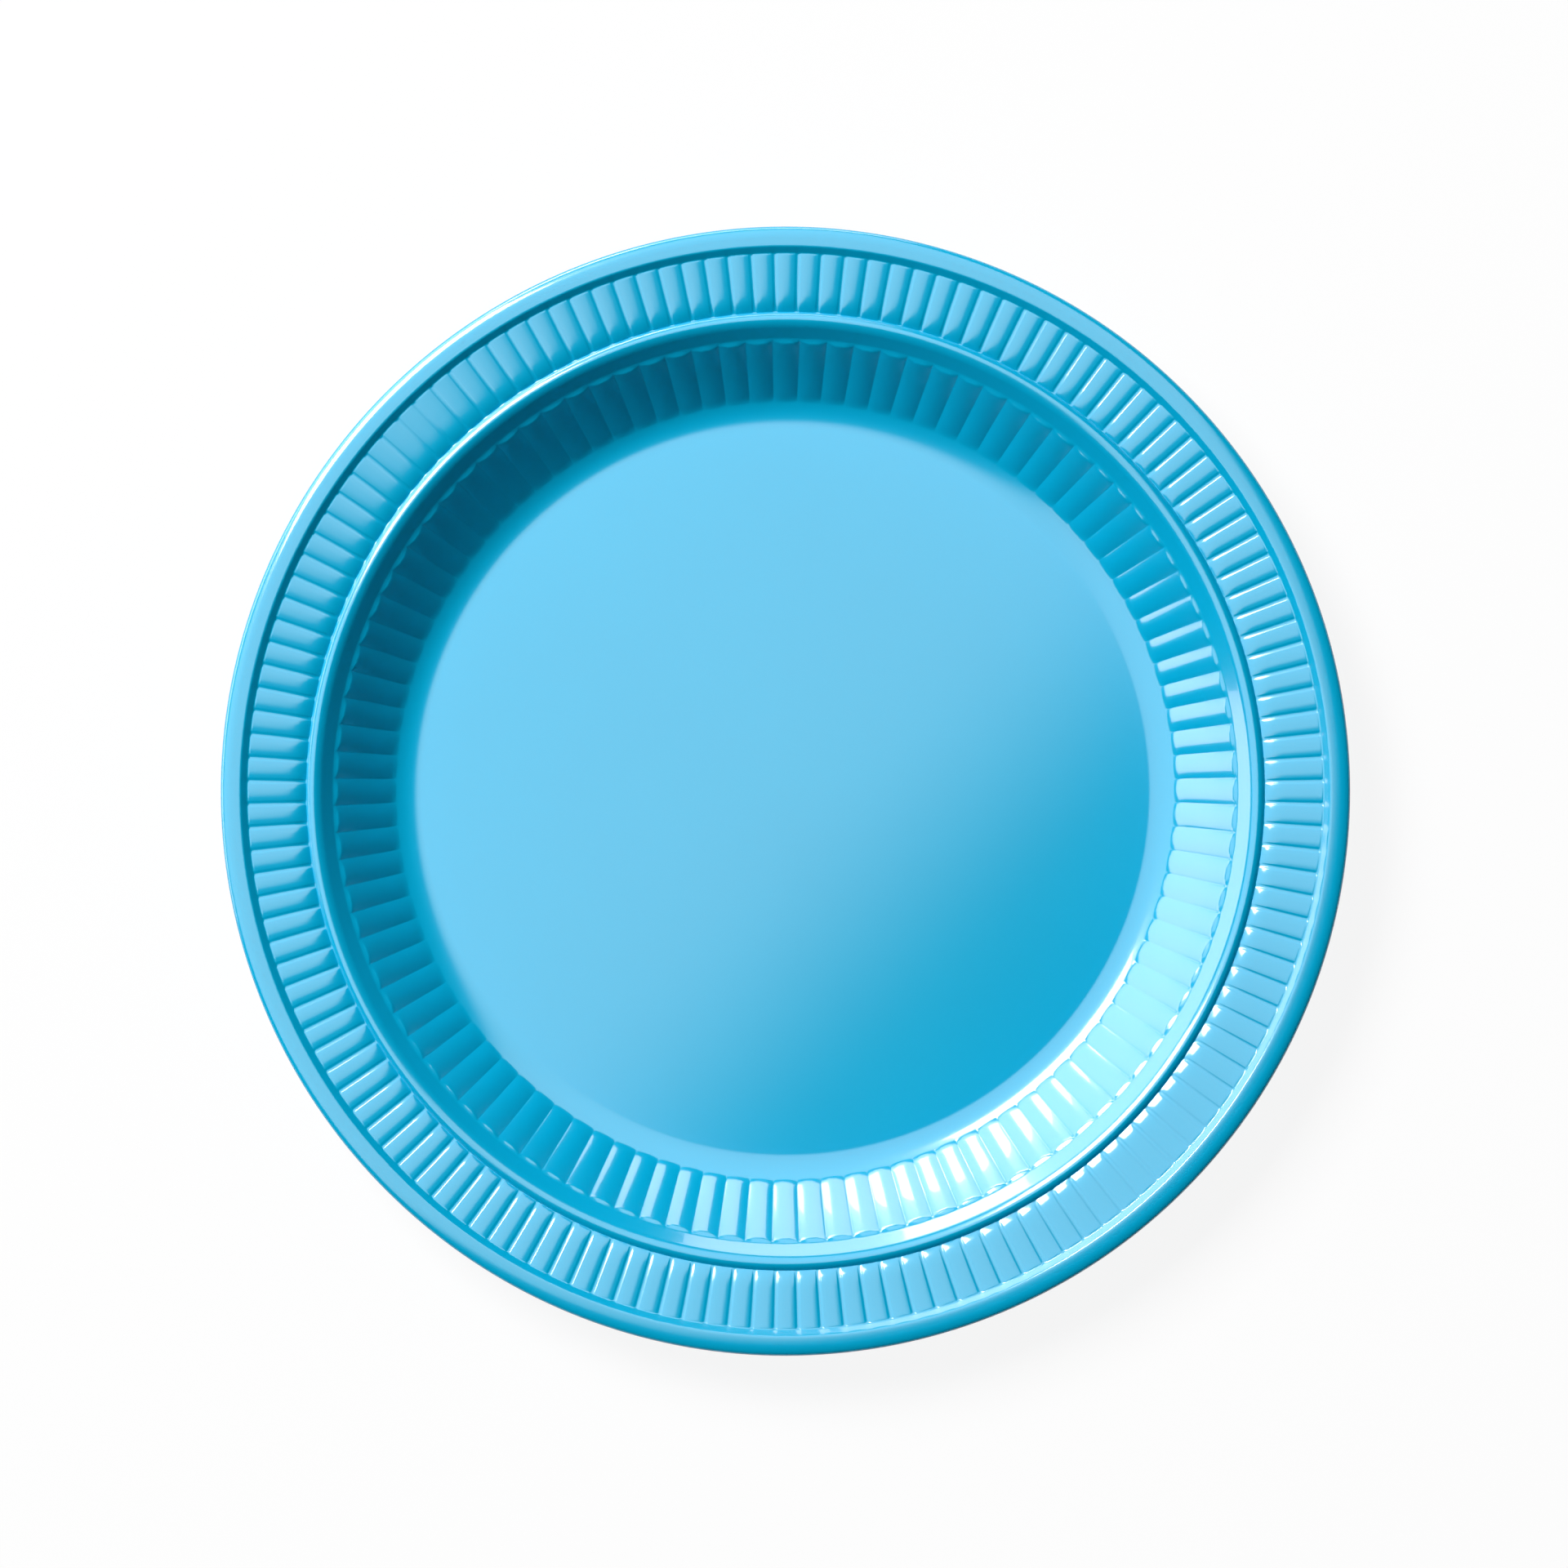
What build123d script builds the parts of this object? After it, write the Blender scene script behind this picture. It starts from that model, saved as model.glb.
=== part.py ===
from build123d import *
import os
from math import asin, atan2, cos, radians, sin, tan

# A round party plate pressed from one thin plastic sheet. A band of reeds on the flat rim and
# another on the sloping wall stiffen it, and a hollow bead ends the rim.
# Millimetres and degrees. The plate's axis is Z and it stands on Z = 0.

# Overall
plate_radius = 115.0
plate_height = 18.0
sheet = 0.6

# Well: a crowned floor, a flat foot ring, a shallow heel and a straight wall up to a ledge
floor_radius = 72.0
floor_crown = 1.2
crown_radius = 36.0
foot_width = 3.2
heel_width = 5.8
heel_rise = 1.4
wall_top_radius = 91.9
ledge_width = 0.35
ledge_drop = 3.6

# Ridge between the ledge and the rim
mouth_run = 3.2
ridge_fall_run = 1.8
ridge_rise = 0.7

# Rim, then a crowned bead that steps up from it and turns down into a lip
rim_depth = 2.0
bead_width = 5.4
bead_step_run = 0.2
bead_bend = 4.5
bead_flats = 4
bead_corner = 0.4
lip_length = 3.0

# Reeds: each sector of the plate holds a whole number of each kind
sectors = 8
rim_reeds_per_sector = 18
rim_reed_flats = 3
rim_reed_rise = 0.75
rim_reed_gap = 0.3
wall_reeds_per_sector = 13
wall_reed_flats = 3
wall_reed_rise = 0.75
wall_reed_gap = 0.4
wall_valley = 0.4
hollow_flats = 2

# Steps across a reed's arch, and across the arch of the hollow under it
rim_reed_steps = range(rim_reed_flats + 1)
wall_reed_steps = range(wall_reed_flats + 1)
hollow_steps = range(hollow_flats + 1)

# Levels, radii and slopes that follow
sector_angle = 360 / sectors
rim_level = plate_height - rim_depth
ledge_level = rim_level - ledge_drop
heel_radius = floor_radius + foot_width
wall_foot_radius = heel_radius + heel_width
wall_foot_level = sheet + heel_rise
wall_slope = atan2(ledge_level - wall_foot_level, wall_top_radius - wall_foot_radius)
wall_tip = ledge_level - wall_top_radius * tan(wall_slope)
ledge_radius = wall_top_radius + ledge_width
ridge_radius = ledge_radius + mouth_run
rim_radius = ridge_radius + ridge_fall_run
bead_foot_radius = plate_radius - bead_width
crown_start_radius = bead_foot_radius + bead_step_run
crown_end_radius = plate_radius - bead_corner
crown_middle_radius = (crown_start_radius + crown_end_radius) / 2
crown_half_arc = asin((crown_end_radius - crown_middle_radius) / bead_bend)
crown_edge_level = plate_height - bead_bend * (1 - cos(crown_half_arc))
lip_top_level = crown_edge_level - bead_corner


# The bead's crown in section, from its inner edge to its outer one.
def crown_points():
    turns = [crown_half_arc * (2 * step / bead_flats - 1) for step in range(bead_flats + 1)]
    return [
        (crown_middle_radius + bead_bend * sin(turn), plate_height - bead_bend * (1 - cos(turn)))
        for turn in turns
    ]


# The sheet's upper face in section, from the plate's axis out to the top of the lip.
def upper_line():
    return Polyline(
        (0, sheet + floor_crown),
        (crown_radius, sheet + floor_crown),
        (floor_radius, sheet),
        (heel_radius, sheet),
        (wall_foot_radius, wall_foot_level),
        (wall_top_radius, ledge_level),
        (ledge_radius, ledge_level),
        (ridge_radius, rim_level + ridge_rise),
        (rim_radius, rim_level),
        (bead_foot_radius, rim_level),
        *crown_points(),
        (plate_radius, lip_top_level),
    )


# One sector of the plain sheet, without its reeds.
def plain_sector():
    upper = upper_line()
    lower = offset(upper, sheet, side=Side.RIGHT, kind=Kind.INTERSECTION, closed=False)
    outline = upper + lower + Line(upper @ 0, lower @ 0) + Line(upper @ 1, lower @ 1)
    lip_middle = (plate_radius - sheet / 2, lip_top_level - lip_length / 2)
    section = make_face(outline.edges()) + Pos(*lip_middle) * Rectangle(sheet, lip_length)
    return revolve(Plane.XZ * section, Axis.Z, sector_angle)


# A reed lying on a cone about the plate's axis, or the hollow under one. Its flats follow an
# arc, and width and rise grow with the radius, so that every long edge points at the cone's tip.
def reed(tip, slope, inner, outer, half_width, rise, steps):
    bend = (half_width**2 + rise**2) / (2 * rise)
    half_arc = asin(half_width / bend)
    turns = [half_arc * (2 * step / steps[-1] - 1) for step in steps]
    arch = [(bend * sin(turn), bend * (cos(turn) - cos(half_arc))) for turn in turns]
    root = -sheet / 2
    outline = [(-half_width, root), *arch, (half_width, root)]
    ends = []
    for reach in (inner, outer):
        seat = Plane(
            origin=(reach, 0, tip + reach * tan(slope)),
            x_dir=(0, 1, 0),
            z_dir=(cos(slope), 0, sin(slope)),
        )
        share = reach / outer
        ends.append([seat.from_local_coords((x * share, y * share)) for x, y in outline])
    corners = list(zip(*ends))
    sides = [(*here, *reversed(after)) for here, after in zip(corners, corners[1:] + corners[:1])]
    return Solid(Shell([make_face(Polyline(*points, close=True)) for points in ends + sides]))


# Copies of a reed or a hollow, one at each pitch of a sector.
def spread(shape, count):
    pitch = sector_angle / count
    return [Rot(0, 0, (index + 0.5) * pitch) * shape for index in range(count)]


# Half the width of a reed at a radius, where it touches its neighbours.
def half_pitch(radius, count):
    return radius * tan(radians(sector_angle / count / 2))


# The rim's reeds touch each other and are closed at both ends, and so are their hollows, which
# are narrower by what the sheet takes on both sides.
def rim_band():
    inner = rim_radius + rim_reed_gap
    outer = bead_foot_radius - rim_reed_gap
    rise = rim_reed_rise
    half_width = half_pitch(outer, rim_reeds_per_sector)
    hollow_width = half_width - sheet * rise / half_width
    hollow_tip = rim_level - sheet
    reeds = reed(rim_level, 0, inner, outer, half_width, rise, rim_reed_steps)
    hollows = reed(hollow_tip, 0, inner + sheet, outer - sheet, hollow_width, rise, hollow_steps)
    return spread(reeds, rim_reeds_per_sector), spread(hollows, rim_reeds_per_sector)


# The wall's reeds start just above the heel and are cut off level with the ledge, and their
# hollows one sheet below it.
def wall_band():
    inner = wall_foot_radius + wall_reed_gap
    outer = wall_top_radius + 2 * wall_reed_rise
    rise = wall_reed_rise
    half_width = half_pitch(outer, wall_reeds_per_sector) - wall_valley / 2
    hollow_width = half_width - sheet * rise / half_width
    hollow_tip = wall_tip - sheet / cos(wall_slope)
    reeds = reed(wall_tip, wall_slope, inner, outer, half_width, rise, wall_reed_steps)
    hollows = reed(hollow_tip, wall_slope, inner + sheet, outer, hollow_width, rise, hollow_steps)
    reeds = split(reeds, Plane.XY.offset(ledge_level), Keep.BOTTOM)
    hollows = split(hollows, Plane.XY.offset(ledge_level - sheet), Keep.BOTTOM)
    return spread(reeds, wall_reeds_per_sector), spread(hollows, wall_reeds_per_sector)


def reeded_sector():
    rim_reeds, rim_hollows = rim_band()
    wall_reeds, wall_hollows = wall_band()
    return plain_sector() + rim_reeds + wall_reeds - rim_hollows - wall_hollows


# The faces where a sector meets its neighbours are flat, upright and pass through the axis.
def is_joint_face(face):
    if face.geom_type != GeomType.PLANE:
        return False
    normal = face.normal_at(face.center())
    middle = face.center()
    return abs(normal.Z) < 1e-6 and abs(normal.X * middle.X + normal.Y * middle.Y) < 1e-6


# The whole plate: the sector's outer faces turned round the axis and sewn into one skin.
def plate():
    skin = [face for face in reeded_sector().faces() if not is_joint_face(face)]
    turned = [Rot(0, 0, index * sector_angle) * face for index in range(sectors) for face in skin]
    return Solid(Shell(turned))


os.makedirs("parts", exist_ok=True)
export_step(plate(), "parts/plate.step")
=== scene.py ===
from math import cos, degrees, pi, radians, sin, sqrt, tan

import bmesh
import bpy
from mathutils import Matrix, Vector


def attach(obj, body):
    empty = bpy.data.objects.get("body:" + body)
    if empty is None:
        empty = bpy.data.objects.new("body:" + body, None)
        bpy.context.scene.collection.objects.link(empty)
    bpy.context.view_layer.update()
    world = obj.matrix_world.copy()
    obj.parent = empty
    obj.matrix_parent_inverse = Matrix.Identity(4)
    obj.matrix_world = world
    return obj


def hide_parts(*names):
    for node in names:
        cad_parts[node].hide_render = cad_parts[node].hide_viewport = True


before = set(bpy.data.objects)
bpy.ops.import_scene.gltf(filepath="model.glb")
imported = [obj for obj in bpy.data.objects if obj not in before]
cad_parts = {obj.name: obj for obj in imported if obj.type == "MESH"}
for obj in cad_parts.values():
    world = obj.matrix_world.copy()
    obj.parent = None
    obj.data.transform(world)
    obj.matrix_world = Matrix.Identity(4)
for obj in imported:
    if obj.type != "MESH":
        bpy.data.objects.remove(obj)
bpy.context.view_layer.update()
mm = 0.001

# The plate is one pressed sheet. The section of its upper face is given part by part in
# millimetres, as radii from the plate's axis and levels, and slopes are in degrees.

# How near a point has to be to be picked on an open edge or in a row, or to be merged
tolerances = {"edge": 0.06, "row": 0.001, "merge": 0.004}


def pickVerts(test):
    mesh = bpy.context.object.data
    bpy.ops.mesh.select_mode(type="VERT")
    bpy.ops.mesh.select_all(action="DESELECT")
    shape = bmesh.from_edit_mesh(mesh)
    for vert in shape.verts:
        vert.select_set(test(vert))
    shape.select_flush(True)
    bmesh.update_edit_mesh(mesh)


def radiusOf(place):
    return sqrt(place.x**2 + place.y**2)


def pickOpenEdges(*radii):
    def onEdge(vert):
        near = any(abs(radiusOf(vert.co) - radius * mm) < tolerances["edge"] * mm for radius in radii)
        return near and vert.is_boundary

    pickVerts(onEdge)


def extrudeBy(x, y, z):
    move = {"value": (x * mm, y * mm, z * mm)}
    bpy.ops.mesh.extrude_region_move(TRANSFORM_OT_translate=move)


def startMesh(name):
    bpy.context.object.name = name
    bpy.ops.object.mode_set(mode="EDIT")


# The smooth parts are rings: the first one is extruded through the next points of the section
def growRings(points):
    for here, there in zip(points, points[1:]):
        extrudeBy(0, 0, there[1] - here[1])
        share = there[0] / here[0]
        bpy.ops.transform.resize(value=(share, share, 1), center_override=(0, 0, 0))


def makeRings(name, count, points, closed=False):
    bpy.ops.object.select_all(action="DESELECT")
    radius, level = points[0]
    fill = "TRIFAN" if closed else "NOTHING"
    bpy.ops.mesh.primitive_circle_add(vertices=count, radius=radius * mm, fill_type=fill)
    startMesh(name)
    bpy.ops.transform.translate(value=(0, 0, level * mm))
    pickVerts(lambda vert: radiusOf(vert.co) > 0.5 * radius * mm)
    growRings(points)
    bpy.ops.object.mode_set(mode="OBJECT")
    return bpy.context.object


# A reed is modelled from its cross section, row by row, then copied round the axis.
# A row is its radius, its level, its slope in radians and its share of the full rise.
def turnRow(radius, level, slope):
    place = (radius * mm, 0, level * mm)
    bpy.ops.transform.rotate(value=slope, orient_axis="Y", center_override=place)


def addRows(rows):
    for here, there in zip(rows, rows[1:]):
        radius, level, slope, share = here
        extrudeBy(0, 0, 0)
        turnRow(radius, level, -slope)
        size = (1, there[0] / radius, there[3] / share)
        bpy.ops.transform.resize(value=size, center_override=(radius * mm, 0, level * mm))
        turnRow(radius, level, there[2])
        move = ((there[0] - radius) * mm, 0, (there[1] - level) * mm)
        bpy.ops.transform.translate(value=move)


# The cross section starts flat in the valley, bends tightly at its edges and gently over its top
def drawArch(sizes, radius, level, halfPitch):
    halfWidth = halfPitch - sizes["valley"] / 2
    edge, top = radians(sizes["edgeSlope"]), radians(sizes["topSlope"])
    edgeBend = sizes["edgeBend"]
    topBend = (halfWidth - edgeBend * (sin(edge) - sin(top))) / sin(top)
    edgeDrop = edgeBend * cos(edge)
    topDrop = edgeDrop - (edgeBend - topBend) * cos(top)
    edgeCentre = halfWidth - edgeBend * sin(edge)
    edgeSteps, topSteps = sizes["archSteps"]
    arcs = [
        (edgeSteps, edge - top, -edgeCentre, edgeDrop),
        (topSteps, 2 * top, 0, topDrop),
        (edgeSteps, edge - top, edgeCentre, edgeDrop),
    ]
    extrudeBy(0, sizes["valley"] / 2, 0)
    for steps, turn, across, drop in arcs:
        middle = (radius * mm, across * mm, (level - drop) * mm)
        bpy.ops.mesh.spin(steps=steps, angle=turn, center=middle, axis=(1, 0, 0))
    extrudeBy(0, sizes["valley"] / 2, 0)


def makeReeds(name, sizes, rows):
    start = sizes["startRow"]
    radius, level, slope = rows[start][:3]
    halfPitch = radius * tan(pi / sizes["count"])
    bpy.ops.object.select_all(action="DESELECT")
    bpy.ops.mesh.primitive_plane_add(size=mm)
    startMesh(name)
    bpy.ops.mesh.merge(type="CENTER")
    bpy.ops.transform.translate(value=(radius * mm, -halfPitch * mm, level * mm))
    drawArch(sizes, radius, level, halfPitch)

    # outwards from the cross section, then inwards from it
    bpy.ops.mesh.select_all(action="SELECT")
    turnRow(radius, level, slope)
    addRows(rows[start:])
    along = Vector((cos(slope), 0, sin(slope)))
    origin = Vector((radius, 0, level)) * mm
    pickVerts(lambda vert: abs((vert.co - origin).dot(along)) < tolerances["row"] * mm)
    addRows(rows[start::-1])

    bpy.ops.mesh.select_all(action="SELECT")
    others = sizes["count"] - 1
    turn = 2 * pi * others / sizes["count"]
    bpy.ops.mesh.spin(steps=others, angle=turn, dupli=True, center=(0, 0, 0), axis=(0, 0, 1))
    bpy.ops.mesh.select_all(action="SELECT")
    bpy.ops.mesh.remove_doubles(threshold=tolerances["merge"] * mm)
    bpy.ops.object.mode_set(mode="OBJECT")
    return bpy.context.object


# The well: a shallow dome, the foot that the plate stands on, and a heel that bends up to the
# wall. An arc of the heel is its radius and the slope where it ends.
well = {
    "crownRise": 1.2,
    "crownRadius": 75.0,
    "footLevel": 0.61,
    "domeRadii": (5, 15, 25, 35, 45, 54, 60),
    "domePoints": 104,
    "footRadii": (64, 68, 72, 75),
    "footPoints": 208,
    "heelArcs": ((8.0, 3.0), (12.0, 25.0), (7.0, 40.0), (117.7, 46.9)),
    "heelSlopes": (-1, 0, 1, 2, 3, 5, 8, 11, 14.5, 18, 21.5, 24),
}


def crownLevel(radius):
    share = 1 - (radius / well["crownRadius"]) ** 2
    return well["footLevel"] + well["crownRise"] * share


def heelRow(turn, share=0.0):
    radius = well["crownRadius"]
    level = well["footLevel"]
    here = -degrees(2 * well["crownRise"] / radius)
    for bend, end in well["heelArcs"]:
        there = min(turn, end)
        radius += bend * (sin(radians(there)) - sin(radians(here)))
        level += bend * (cos(radians(here)) - cos(radians(there)))
        here = there
    return (radius, level, radians(turn), share)


def domeSection():
    return [(radius, crownLevel(radius)) for radius in well["domeRadii"]]


def footSection():
    foot = [(radius, crownLevel(radius)) for radius in well["footRadii"]]
    heel = [heelRow(turn)[:2] for turn in well["heelSlopes"]]
    return foot + heel


# The wall's reeds rise out of the heel, run straight up and are cut off by the ledge.
# A heel row is its slope and share of the rise, and a ledge row has its place before them.
wall = {
    "count": 104,
    "valley": 0.3,
    "edgeBend": 1.0,
    "edgeSlope": 19,
    "topSlope": 11,
    "archSteps": (2, 3),
    "startRow": 8,
    "heelRows": (
        (25.4, 0.0),
        (28.0, 0.22),
        (31.5, 0.47),
        (35.5, 0.7),
        (40.0, 0.9),
        (40.6, 0.97),
        (41.4, 1.0),
        (43.0, 1.0),
        (45.0, 1.0),
        (46.5, 1.0),
    ),
    "ledgeRows": ((91.85, 12.33, 75, 1.15), (91.95, 12.45, 97, 1.2), (92.3, 12.7, 97, 0.0)),
}


def wallRows():
    rows = [heelRow(turn, share) for turn, share in wall["heelRows"]]
    for radius, level, turn, share in wall["ledgeRows"]:
        rows.append((radius, level, radians(turn), share))
    return rows


# The ridge: a steep mouth over the ledge, a round crest, and the groove before the rim
ridge = {
    "points": 312,
    "mouth": [(92.5, 12.82), (92.75, 13.04), (94.45, 14.8), (94.75, 15.07), (95.05, 15.29)],
    "crest": [(95.35, 15.47), (95.7, 15.64), (96.0, 15.75), (96.2, 15.79), (96.4, 15.8)],
    "groove": [(96.6, 15.76), (96.85, 15.67), (97.1, 15.56), (97.3, 15.43), (97.5, 15.25)],
}


def ridgeSection():
    return ridge["mouth"] + ridge["crest"] + ridge["groove"]


# The rim's reeds dip and swell at their inner ends and stop at the step up to the bead.
# A row is its radius, its height over the tilted rim and its share of the rise.
rim = {
    "count": 144,
    "valley": 0.55,
    "edgeBend": 0.8,
    "edgeSlope": 34,
    "topSlope": 3.5,
    "archSteps": (2, 3),
    "startRow": 8,
    "middleRadius": 104,
    "middleLevel": 16.2,
    "slope": 6.0,
    "innerEnds": [
        (97.75, -0.55, 0.0),
        (97.9, -0.53, 0.3),
        (98.3, -0.45, 0.92),
        (98.9, -0.31, 1.2),
        (99.5, -0.2, 1.3),
        (100.2, -0.11, 1.3),
        (101.2, -0.05, 1.15),
        (102.6, -0.01, 1.02),
    ],
    "body": [(105.5, 0, 1.0), (109.2, 0, 1.0), (109.4, 0, 1.0)],
    "step": [(109.6, 0.1, 0.12), (109.75, 0.21, 0.03), (110.5, 0.76, 0.01), (110.67, 0.87, 0.0)],
}


def rimRows():
    slope = radians(rim["slope"])
    rows = []
    for radius, up, share in rim["innerEnds"] + rim["body"] + rim["step"]:
        level = rim["middleLevel"] + up + (radius - rim["middleRadius"]) * tan(slope)
        rows.append((radius, level, slope, share))
    return rows


# The bead: a crown whose inner side falls a little below its top, arcs that bend down to the
# edge, and a lip. An arc is its radius, the slope where it ends and its steps.
bead = {
    "points": 288,
    "edgeRadius": 115.0,
    "topLevel": 18.0,
    "crown": ((110.85, 0.1), (111.0, 0.05), (111.3, 0.025), (112.6, 0.0)),
    "arcs": ((5.0, 8.0, 2), (3.7, 26.0, 4), (1.07, 90.0, 4)),
    "lipLevels": (15.6, 13.9),
}


def beadSection():
    points = [(radius, bead["topLevel"] - drop) for radius, drop in bead["crown"]]
    here = 0.0
    for bend, end, steps in bead["arcs"]:
        radius, level = points[-1]
        for step in range(1, steps + 1):
            there = here + (end - here) * step / steps
            out = bend * (sin(radians(there)) - sin(radians(here)))
            down = bend * (cos(radians(here)) - cos(radians(there)))
            points.append((radius + out, level - down))
        here = end
    return points + [(bead["edgeRadius"], level) for level in bead["lipLevels"]]


def bridgeParts():
    joints = [
        (domeSection()[-1][0], footSection()[0][0]),
        (footSection()[-1][0], wallRows()[0][0]),
        (wallRows()[-1][0], ridgeSection()[0][0]),
        (ridgeSection()[-1][0], rimRows()[0][0]),
        (rimRows()[-1][0], beadSection()[0][0]),
    ]
    for inner, outer in joints:
        pickOpenEdges(inner, outer)
        bpy.ops.mesh.bridge_edge_loops()


# All faces point one way, and the upper face of the sheet points up
def turnFacesUp(plate):
    bpy.ops.mesh.select_all(action="SELECT")
    bpy.ops.mesh.normals_make_consistent(inside=False)
    bpy.ops.object.mode_set(mode="OBJECT")
    middle = min(plate.data.polygons, key=lambda face: face.center.xy.length)
    if middle.normal.z < 0:
        bpy.ops.object.mode_set(mode="EDIT")
        bpy.ops.mesh.flip_normals()
        bpy.ops.object.mode_set(mode="OBJECT")


# The parts are joined, and the sheet gets its thickness below the upper face
sheet = {"thickness": 0.6, "smoothAngle": 62}


def makePlate():
    print("plate: rings and reeds")
    dome = makeRings("dome", well["domePoints"], domeSection(), closed=True)
    others = [
        makeRings("foot", well["footPoints"], footSection()),
        makeReeds("wallReeds", wall, wallRows()),
        makeRings("ridge", ridge["points"], ridgeSection()),
        makeReeds("rimReeds", rim, rimRows()),
        makeRings("bead", bead["points"], beadSection()),
    ]
    bpy.ops.object.select_all(action="DESELECT")
    for part in [*others, dome]:
        part.select_set(True)
    bpy.context.view_layer.objects.active = dome
    bpy.ops.object.join()
    plate = bpy.context.object
    plate.name = "plateBody"
    plate.data.name = "plateBody"

    print("plate: bridging")
    bpy.ops.object.mode_set(mode="EDIT")
    bridgeParts()
    turnFacesUp(plate)

    print("plate: thickness")
    shell = plate.modifiers.new("sheet", "SOLIDIFY")
    shell.thickness = sheet["thickness"] * mm
    shell.offset = -1
    shell.use_even_offset = True
    bpy.ops.object.modifier_apply(modifier="sheet")
    bpy.ops.object.shade_smooth_by_angle(angle=radians(sheet["smoothAngle"]))
    print("plate: faces", len(plate.data.polygons))
    return plate


# Glossy moulded plastic, with a slow drift in its tint and a fine grain in its gloss
glossyPlastic = {
    "colour": (0.0, 0.42, 0.69),
    "deepColour": (0.0, 0.395, 0.655),
    "ior": 1.5,
    "coat": 0.6,
    "coatRoughness": 0.035,
    "smoothest": 0.15,
    "roughest": 0.2,
    "driftScale": 28.0,
    "driftDetail": 2.0,
    "driftBump": 0.25,
    "driftDepth": 0.04,
    "grainScale": 900.0,
    "grainDetail": 3.0,
}


def addNode(tree, kind, **values):
    node = tree.nodes.new(kind)
    for name, value in values.items():
        node.inputs[name].default_value = value
    return node


def makePlastic():
    look = glossyPlastic
    material = bpy.data.materials.new("glossyPlastic")
    material.use_nodes = True
    tree = material.node_tree
    link = tree.links.new
    shader = tree.nodes["Principled BSDF"]
    shader.inputs["IOR"].default_value = look["ior"]
    shader.inputs["Coat Weight"].default_value = look["coat"]
    shader.inputs["Coat Roughness"].default_value = look["coatRoughness"]
    place = tree.nodes.new("ShaderNodeTexCoord")

    drift = addNode(tree, "ShaderNodeTexNoise", Scale=look["driftScale"], Detail=look["driftDetail"])
    link(place.outputs["Object"], drift.inputs["Vector"])
    tint = tree.nodes.new("ShaderNodeMix")
    tint.data_type = "RGBA"
    tint.inputs["A"].default_value = (*look["colour"], 1)
    tint.inputs["B"].default_value = (*look["deepColour"], 1)
    link(drift.outputs["Fac"], tint.inputs["Factor"])
    link(tint.outputs["Result"], shader.inputs["Base Color"])

    grain = addNode(tree, "ShaderNodeTexNoise", Scale=look["grainScale"], Detail=look["grainDetail"])
    link(place.outputs["Object"], grain.inputs["Vector"])
    rough = tree.nodes.new("ShaderNodeMapRange")
    rough.inputs["To Min"].default_value = look["smoothest"]
    rough.inputs["To Max"].default_value = look["roughest"]
    link(grain.outputs["Fac"], rough.inputs["Value"])
    link(rough.outputs["Result"], shader.inputs["Roughness"])

    depth = look["driftDepth"] * mm
    bump = addNode(tree, "ShaderNodeBump", Strength=look["driftBump"], Distance=depth)
    link(drift.outputs["Fac"], bump.inputs["Height"])
    link(bump.outputs["Normal"], shader.inputs["Normal"])
    return material


# The floor, in metres: it glows to the camera and to gloss only, and still takes the shadow
studioFloor = {
    "size": 6.0,
    "level": -0.0002,
    "colour": (0.85, 0.85, 0.85),
    "roughness": 0.9,
    "glow": 0.9,
}


def makeFloor():
    bpy.ops.object.select_all(action="DESELECT")
    place = (0, 0, studioFloor["level"])
    bpy.ops.mesh.primitive_plane_add(size=studioFloor["size"], location=place)
    floor = bpy.context.object
    floor.name = "studioFloor"
    material = bpy.data.materials.new("paleFloor")
    material.use_nodes = True
    tree = material.node_tree
    link = tree.links.new
    shader = tree.nodes["Principled BSDF"]
    shader.inputs["Base Color"].default_value = (*studioFloor["colour"], 1)
    shader.inputs["Roughness"].default_value = studioFloor["roughness"]
    glow = addNode(tree, "ShaderNodeEmission", Strength=1.0)
    rays = tree.nodes.new("ShaderNodeLightPath")
    seen = tree.nodes.new("ShaderNodeMath")
    seen.operation = "MAXIMUM"
    link(rays.outputs["Is Camera Ray"], seen.inputs[0])
    link(rays.outputs["Is Glossy Ray"], seen.inputs[1])
    amount = tree.nodes.new("ShaderNodeMath")
    amount.operation = "MULTIPLY"
    amount.inputs[1].default_value = studioFloor["glow"]
    link(seen.outputs[0], amount.inputs[0])
    blend = tree.nodes.new("ShaderNodeMixShader")
    link(amount.outputs[0], blend.inputs["Fac"])
    link(shader.outputs["BSDF"], blend.inputs[1])
    link(glow.outputs["Emission"], blend.inputs[2])
    link(blend.outputs["Shader"], tree.nodes["Material Output"].inputs["Surface"])
    floor.data.materials.append(material)


# One soft key lamp lights the plate; the others are cards that only its gloss shows.
# Places are azimuth and height in degrees and metres away from the target.
target = Vector((0.0, 0.0, 0.0165))
world = {"strength": 0.01, "colour": (0.6, 0.8, 1.0)}
lamps = {
    "keyLamp": {"azimuth": 135, "height": 47, "away": 2.6, "size": (1.1, 1.1), "radiance": 25.5},
    "windowCard": {"azimuth": 113, "height": 13, "away": 1.2, "size": (0.36, 0.2), "radiance": 15},
    "softCard": {
        "azimuth": 135,
        "height": 70.4,
        "away": 1.5,
        "size": (3.2, 1.6),
        "radiance": 2.9,
        "fade": 0.13,
    },
    "lowCard": {
        "azimuth": 135,
        "height": 12,
        "away": 1.0,
        "size": (3.2, 0.62),
        "radiance": 6.2,
        "colour": (1.0, 0.86, 0.88),
    },
}


def lampPlace(lamp):
    azimuth, height = radians(lamp["azimuth"]), radians(lamp["height"])
    flat = lamp["away"] * cos(height)
    return Vector((flat * cos(azimuth), flat * sin(azimuth), lamp["away"] * sin(height)))


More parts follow.
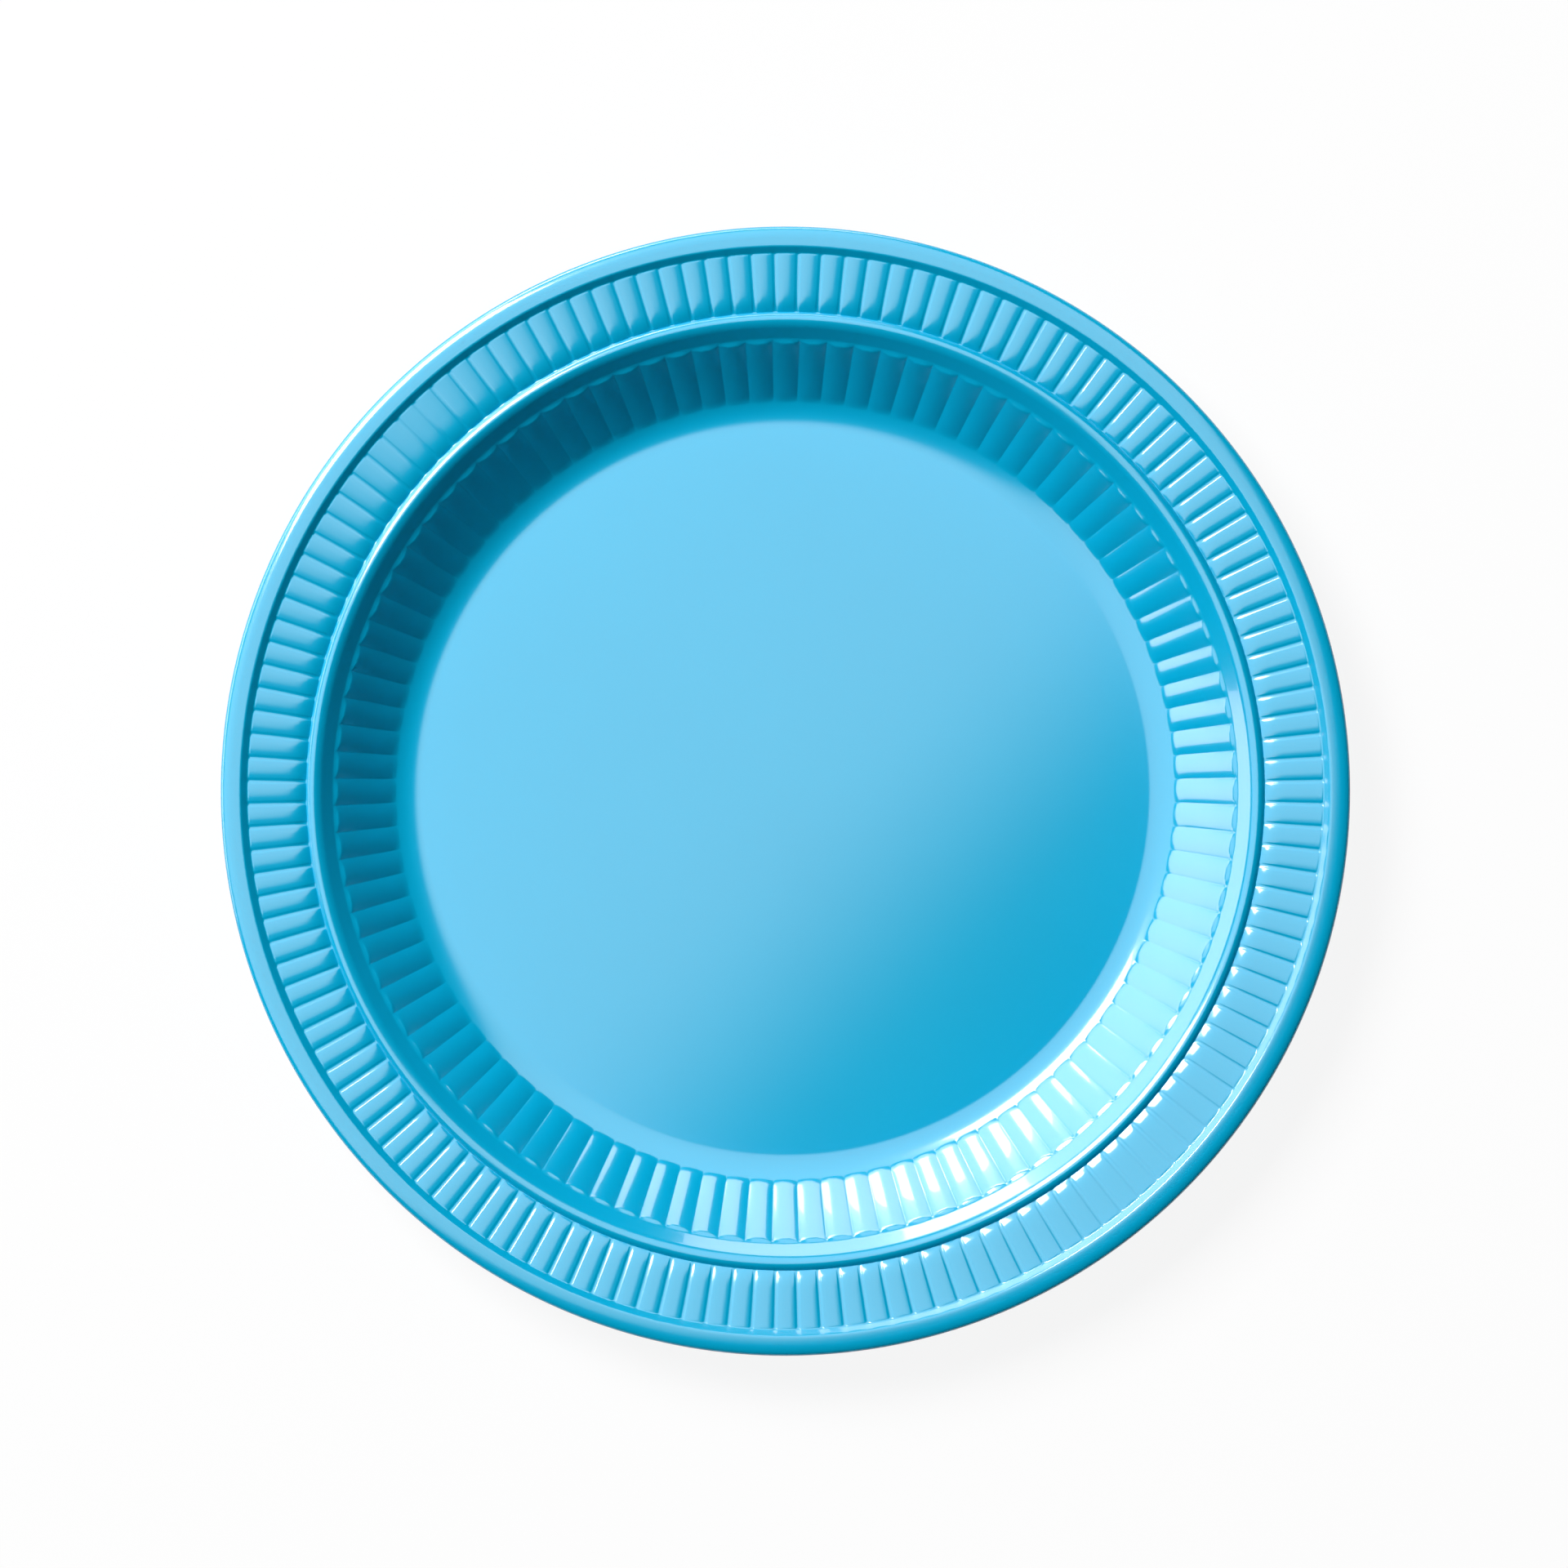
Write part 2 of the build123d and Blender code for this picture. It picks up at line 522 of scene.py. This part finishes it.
# The light dies away over this share of the card, at its upper end
def fadeCard(data, share):
    data.use_nodes = True
    tree = data.node_tree
    place = tree.nodes.new("ShaderNodeTexCoord")
    split = tree.nodes.new("ShaderNodeSeparateXYZ")
    ramp = tree.nodes.new("ShaderNodeMapRange")
    ramp.interpolation_type = "SMOOTHSTEP"
    ramp.inputs["From Min"].default_value = 1.0
    ramp.inputs["From Max"].default_value = 1.0 - share
    tree.links.new(place.outputs["UV"], split.inputs[0])
    tree.links.new(split.outputs["Y"], ramp.inputs["Value"])
    tree.links.new(ramp.outputs["Result"], tree.nodes["Emission"].inputs["Strength"])


def makeLamps():
    for name, lamp in lamps.items():
        data = bpy.data.lights.new(name, "AREA")
        data.shape = "RECTANGLE"
        data.size, data.size_y = lamp["size"]
        data.energy = lamp["radiance"] * pi * data.size * data.size_y
        data.color = lamp.get("colour", (1.0, 1.0, 1.0))
        if "fade" in lamp:
            fadeCard(data, lamp["fade"])
        light = bpy.data.objects.new(name, data)
        bpy.context.collection.objects.link(light)
        light.visible_diffuse = name == "keyLamp"
        light.location = lampPlace(lamp)
        light.rotation_euler = (target - light.location).to_track_quat("-Z", "Y").to_euler()


def makeWorld():
    scene = bpy.context.scene
    scene.world = bpy.data.worlds.new("studioWorld")
    scene.world.use_nodes = True
    background = scene.world.node_tree.nodes["Background"]
    background.inputs["Strength"].default_value = world["strength"]
    background.inputs["Color"].default_value = (*world["colour"], 1)


# The camera looks almost straight down. The plate's width and centre in the picture are in
# pixels, and the leans are in degrees.
camera = {
    "away": 1.1,
    "leanLeft": 0.8,
    "leanUp": 1.0,
    "imageWidth": 1920,
    "plateWidth": 1383.0,
    "plateCentre": (962.8, 970.0),
}


def makeCamera():
    data = bpy.data.cameras.new("studioCamera")
    eye = bpy.data.objects.new("studioCamera", data)
    bpy.context.collection.objects.link(eye)
    away = camera["away"]
    left = away * tan(radians(camera["leanLeft"]))
    above = away * tan(radians(camera["leanUp"]))
    eye.location = target + Vector((-left, above, away))
    back = (eye.location - target).normalized()
    right = Vector((0, 1, 0)).cross(back).normalized()
    eye.rotation_euler = Matrix((right, back.cross(right), back)).transposed().to_euler()

    imageWidth = camera["imageWidth"]
    viewWidth = 2 * bead["edgeRadius"] * mm * imageWidth / camera["plateWidth"]
    data.lens = data.sensor_width * (target - eye.location).length / viewWidth
    across, down = camera["plateCentre"]
    data.shift_x = (imageWidth / 2 - across) / imageWidth
    data.shift_y = (down - imageWidth / 2) / imageWidth
    bpy.context.scene.camera = eye


plateBody = makePlate()
plateBody.data.materials.append(makePlastic())
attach(plateBody, "root")
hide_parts("plate")

print("studio")
makeFloor()
makeLamps()
makeWorld()
makeCamera()
bpy.context.scene.view_settings.view_transform = "Standard"
